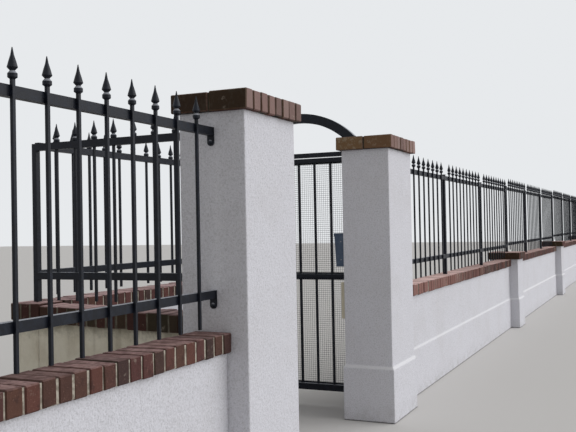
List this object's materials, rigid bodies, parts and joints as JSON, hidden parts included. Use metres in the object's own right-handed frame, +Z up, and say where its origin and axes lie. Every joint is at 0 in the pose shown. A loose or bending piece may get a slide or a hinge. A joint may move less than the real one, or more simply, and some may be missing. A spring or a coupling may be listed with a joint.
{
  "type": "garden wall with entrance piers, railings and side gate",
  "caption": "Rendered garden wall with brick copings and spear-topped railings, an entrance between two tall piers, and a side gate that swings.",
  "frame": {"origin": "middle of the left gate pier's base, on the ground", "axes": "+X along the wall to the right as seen from the street, +Y into the garden, +Z up"},
  "size_m": [23.8569, 1.499, 2.257],
  "materials": {
    "render": "matte",
    "brick": "matte",
    "ironwork": "satin",
    "letter_box": "satin"
  },
  "bodies": {
    "wall": {"gate_pier_left": "render", "gate_pier_right": "render", "gate_pier_cap_left": "brick", "gate_pier_cap_right": "brick", "end_pier_left": "render", "small_pier_right_1": "render", "small_pier_right_2": "render", "end_pier_right": "render", "end_pier_cap_left": "brick", "small_pier_cap_1": "brick", "small_pier_cap_2": "brick", "end_pier_cap_right": "brick", "wall_left": "render", "wall_right_1": "render", "wall_right_2": "render", "wall_right_3": "render", "coping_left": "brick", "coping_right_1": "brick", "coping_right_2": "brick", "coping_right_3": "brick", "railing_left_1": "ironwork", "railing_left_2": "ironwork", "railing_left_3": "ironwork", "railing_right_1": "ironwork", "railing_right_2": "ironwork", "railing_right_3": "ironwork", "railing_right_4": "ironwork", "railing_right_5": "ironwork", "railing_right_6": "ironwork", "railing_right_7": "ironwork", "railing_right_8": "ironwork", "railing_right_9": "ironwork", "posts_left": "ironwork", "posts_right": "ironwork", "return_wall": "render", "return_coping": "brick", "return_railing": "ironwork", "back_wall": "render", "back_coping": "brick", "back_railing": "ironwork", "gate_frame": "ironwork", "gate_hinge_pins": "ironwork", "gate_lock_keep": "ironwork", "letter_box": "letter_box", "letter_box_lid": "letter_box"},
    "side_gate": {"gate_hinge_eyes": "ironwork", "gate_leaf": "ironwork", "gate_lock": "ironwork"}
  },
  "joints": [
    {"name": "gate_swing", "type": "hinge", "parent": "wall", "child": "side_gate", "pos_m": [2.269, 0.249, 0.9], "axis": [0, 0, -1], "range_deg": [0, 90]}
  ]
}
